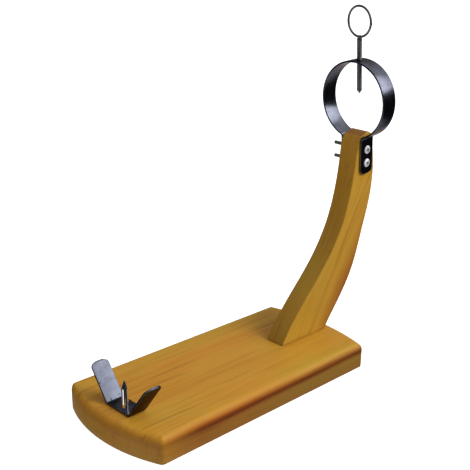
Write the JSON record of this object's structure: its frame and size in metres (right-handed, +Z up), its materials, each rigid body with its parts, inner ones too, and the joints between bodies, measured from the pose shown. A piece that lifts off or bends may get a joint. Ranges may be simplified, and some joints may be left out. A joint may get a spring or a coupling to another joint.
{
  "type": "ham carving stand",
  "caption": "Wooden ham carving stand: thick board, curved upright with a strap collar and pointed eye screw, and a V-shaped steel cradle with a spike.",
  "frame": {"origin": "centre of the board's flat underside", "axes": "+X towards the upright, +Z up out of the board, +Y towards the side where the collar screws' tips stand out"},
  "size_m": [0.4611, 0.18, 0.4748],
  "materials": {
    "varnished_pine": "amber satin varnish on pine",
    "dowel_beech": "bare beech",
    "blackened_steel": "blued, half gloss",
    "bright_steel": "polished",
    "zinc_plated_steel": "zinc plated"
  },
  "bodies": {
    "stand": {"base_board": "varnished_pine", "upright_arm": "varnished_pine", "arm_dowel_front": "dowel_beech", "arm_dowel_rear": "dowel_beech", "arm_screw_front": "zinc_plated_steel", "arm_screw_rear": "zinc_plated_steel", "collar_strap": "blackened_steel", "collar_screw_upper": "zinc_plated_steel", "collar_screw_lower": "zinc_plated_steel", "collar_nut_upper": "zinc_plated_steel", "collar_nut_lower": "zinc_plated_steel", "cradle_bracket": "blackened_steel", "cradle_spike": "bright_steel", "spike_washer": "zinc_plated_steel", "spike_nut": "zinc_plated_steel"},
    "eye_screw_rod": {"pin_rod": "blackened_steel"},
    "eye_screw_ring": {"pin_ring": "blackened_steel"}
  },
  "joints": [
    {"name": "eye_screw_travel", "type": "slide", "parent": "stand", "child": "eye_screw_rod", "axis": [-0.0575, 0.0349, 0.9977], "range_m": [-0.027, 0.037]},
    {"name": "eye_screw_turn", "type": "hinge", "parent": "eye_screw_rod", "child": "eye_screw_ring", "pos_m": [0.23505, -0.006, 0.40511], "axis": [-0.0575, 0.0349, 0.9977], "range_deg": [-9720, 13320]}
  ],
  "couplings": [
    {"joint": "eye_screw_travel", "follows": "eye_screw_turn", "m_per_rad": 0.00015915}
  ]
}
